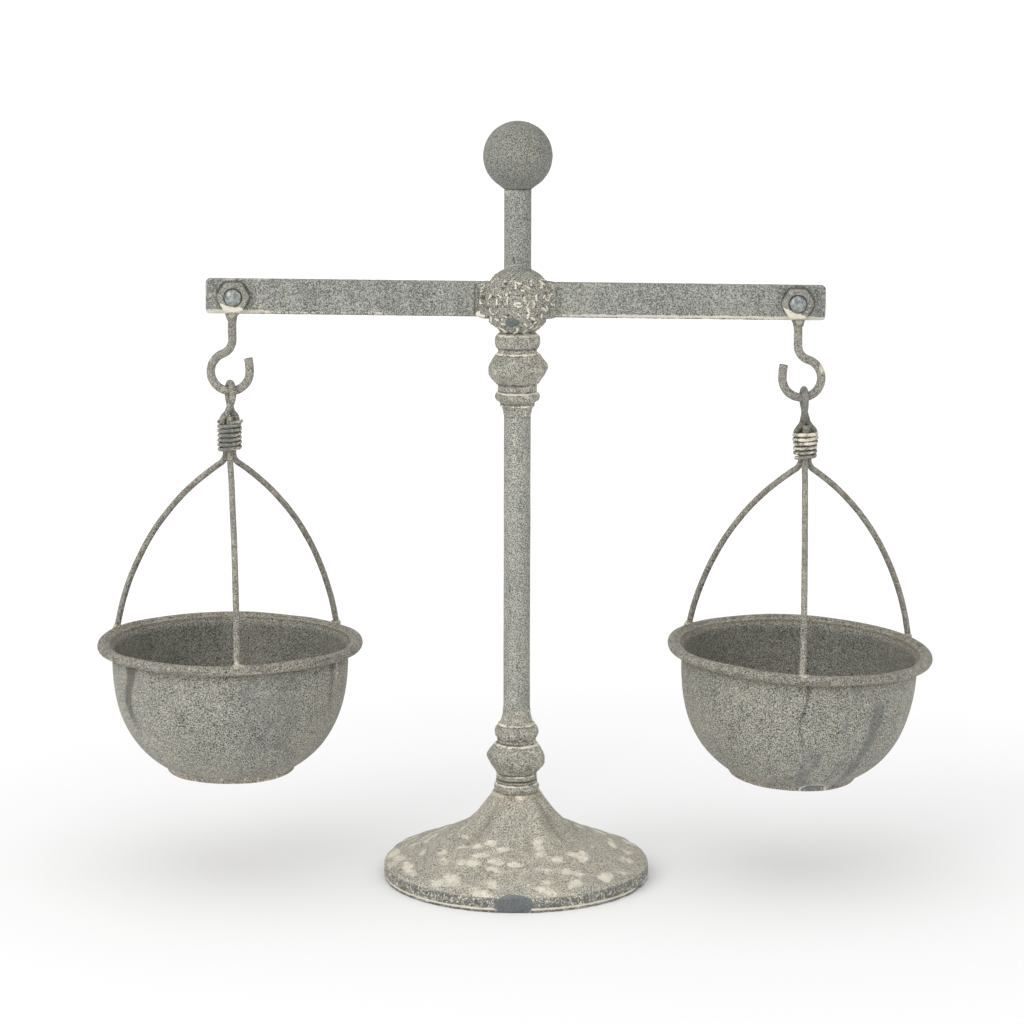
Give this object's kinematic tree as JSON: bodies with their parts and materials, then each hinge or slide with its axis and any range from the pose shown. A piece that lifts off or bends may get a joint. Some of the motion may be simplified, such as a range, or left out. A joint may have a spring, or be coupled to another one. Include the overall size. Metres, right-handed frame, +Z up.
{
  "type": "balance scale",
  "caption": "Standing balance: a flat beam rocks on a round-footed column, with a bowl hung on bent wires from a hook at each end.",
  "frame": {"origin": "middle of the foot, on the surface it stands on", "axes": "+X along the beam to the viewer's right, +Y to the back, +Z up"},
  "size_m": [0.4966, 0.1644, 0.4521],
  "materials": {
    "washed_casting": "grey zinc-look paint with a cream wash rubbed into the casting, matt",
    "washed_bar": "grey zinc-look paint with a thin cream wash, matt, worn cream along the edges",
    "washed_wire": "grey-brown wash on wire, matt",
    "washed_binding": "wound wire, dark in the grooves and cream on the crowns",
    "washed_sheet": "spun sheet steel, speckled grey wash with darker runs, matt",
    "washed_nut": "zinc plated, greyed, cream along the lower edge",
    "worn_bolt": "zinc plated, satin, slightly blue",
    "plain_steel": "plain zinc plated steel, satin",
    "pale_weld": "cream bead of wash over a weld, matt"
  },
  "bodies": {
    "stand": {"base_foot": "washed_casting", "base_washer": "plain_steel", "base_nut": "plain_steel", "tie_rod": "plain_steel", "lower_collar": "washed_casting", "shaft_tube": "washed_bar", "upper_collar": "washed_casting", "beam_head": "washed_casting", "pivot_pin": "plain_steel", "finial_rod": "washed_bar", "finial_ball": "washed_casting"},
    "beam": {"beam_bar": "washed_bar", "bolt_left": "worn_bolt", "bolt_right": "worn_bolt", "nut_left": "washed_nut", "nut_right": "washed_nut"},
    "hook_left": {"hook_left": "washed_wire"},
    "hook_right": {"hook_right": "washed_wire"},
    "pan_left": {"eye_left": "washed_wire", "binding_left": "washed_binding", "stay_front_left": "washed_wire", "stay_back_a_left": "washed_wire", "stay_back_b_left": "washed_wire", "welds_left": "pale_weld", "bowl_left": "washed_sheet"},
    "pan_right": {"eye_right": "washed_wire", "binding_right": "washed_binding", "stay_front_right": "washed_wire", "stay_back_a_right": "washed_wire", "stay_back_b_right": "washed_wire", "welds_right": "pale_weld", "bowl_right": "washed_sheet"}
  },
  "joints": [
    {"name": "beam_tilt", "type": "hinge", "parent": "stand", "child": "beam", "pos_m": [0, 0, 0.35089], "axis": [0, 1, 0], "range_deg": [-6.5, 5.5]},
    {"name": "hook_left_swing", "type": "hinge", "parent": "beam", "child": "hook_left", "pos_m": [-0.16501, 0.00585, 0.35007], "axis": [0, 1, 0], "range_deg": [-15, 15]},
    {"name": "hook_right_swing", "type": "hinge", "parent": "beam", "child": "hook_right", "pos_m": [0.16497, 0.00585, 0.3469], "axis": [0, 1, 0], "range_deg": [-15, 15]},
    {"name": "bowl_left_swing", "type": "hinge", "parent": "hook_left", "child": "pan_left", "pos_m": [-0.16922, 0.00585, 0.29317], "axis": [1, 0, 0], "range_deg": [-20, 20]},
    {"name": "bowl_right_swing", "type": "hinge", "parent": "hook_right", "child": "pan_right", "pos_m": [0.16917, 0.00585, 0.29], "axis": [1, 0, 0], "range_deg": [-20, 20]}
  ]
}
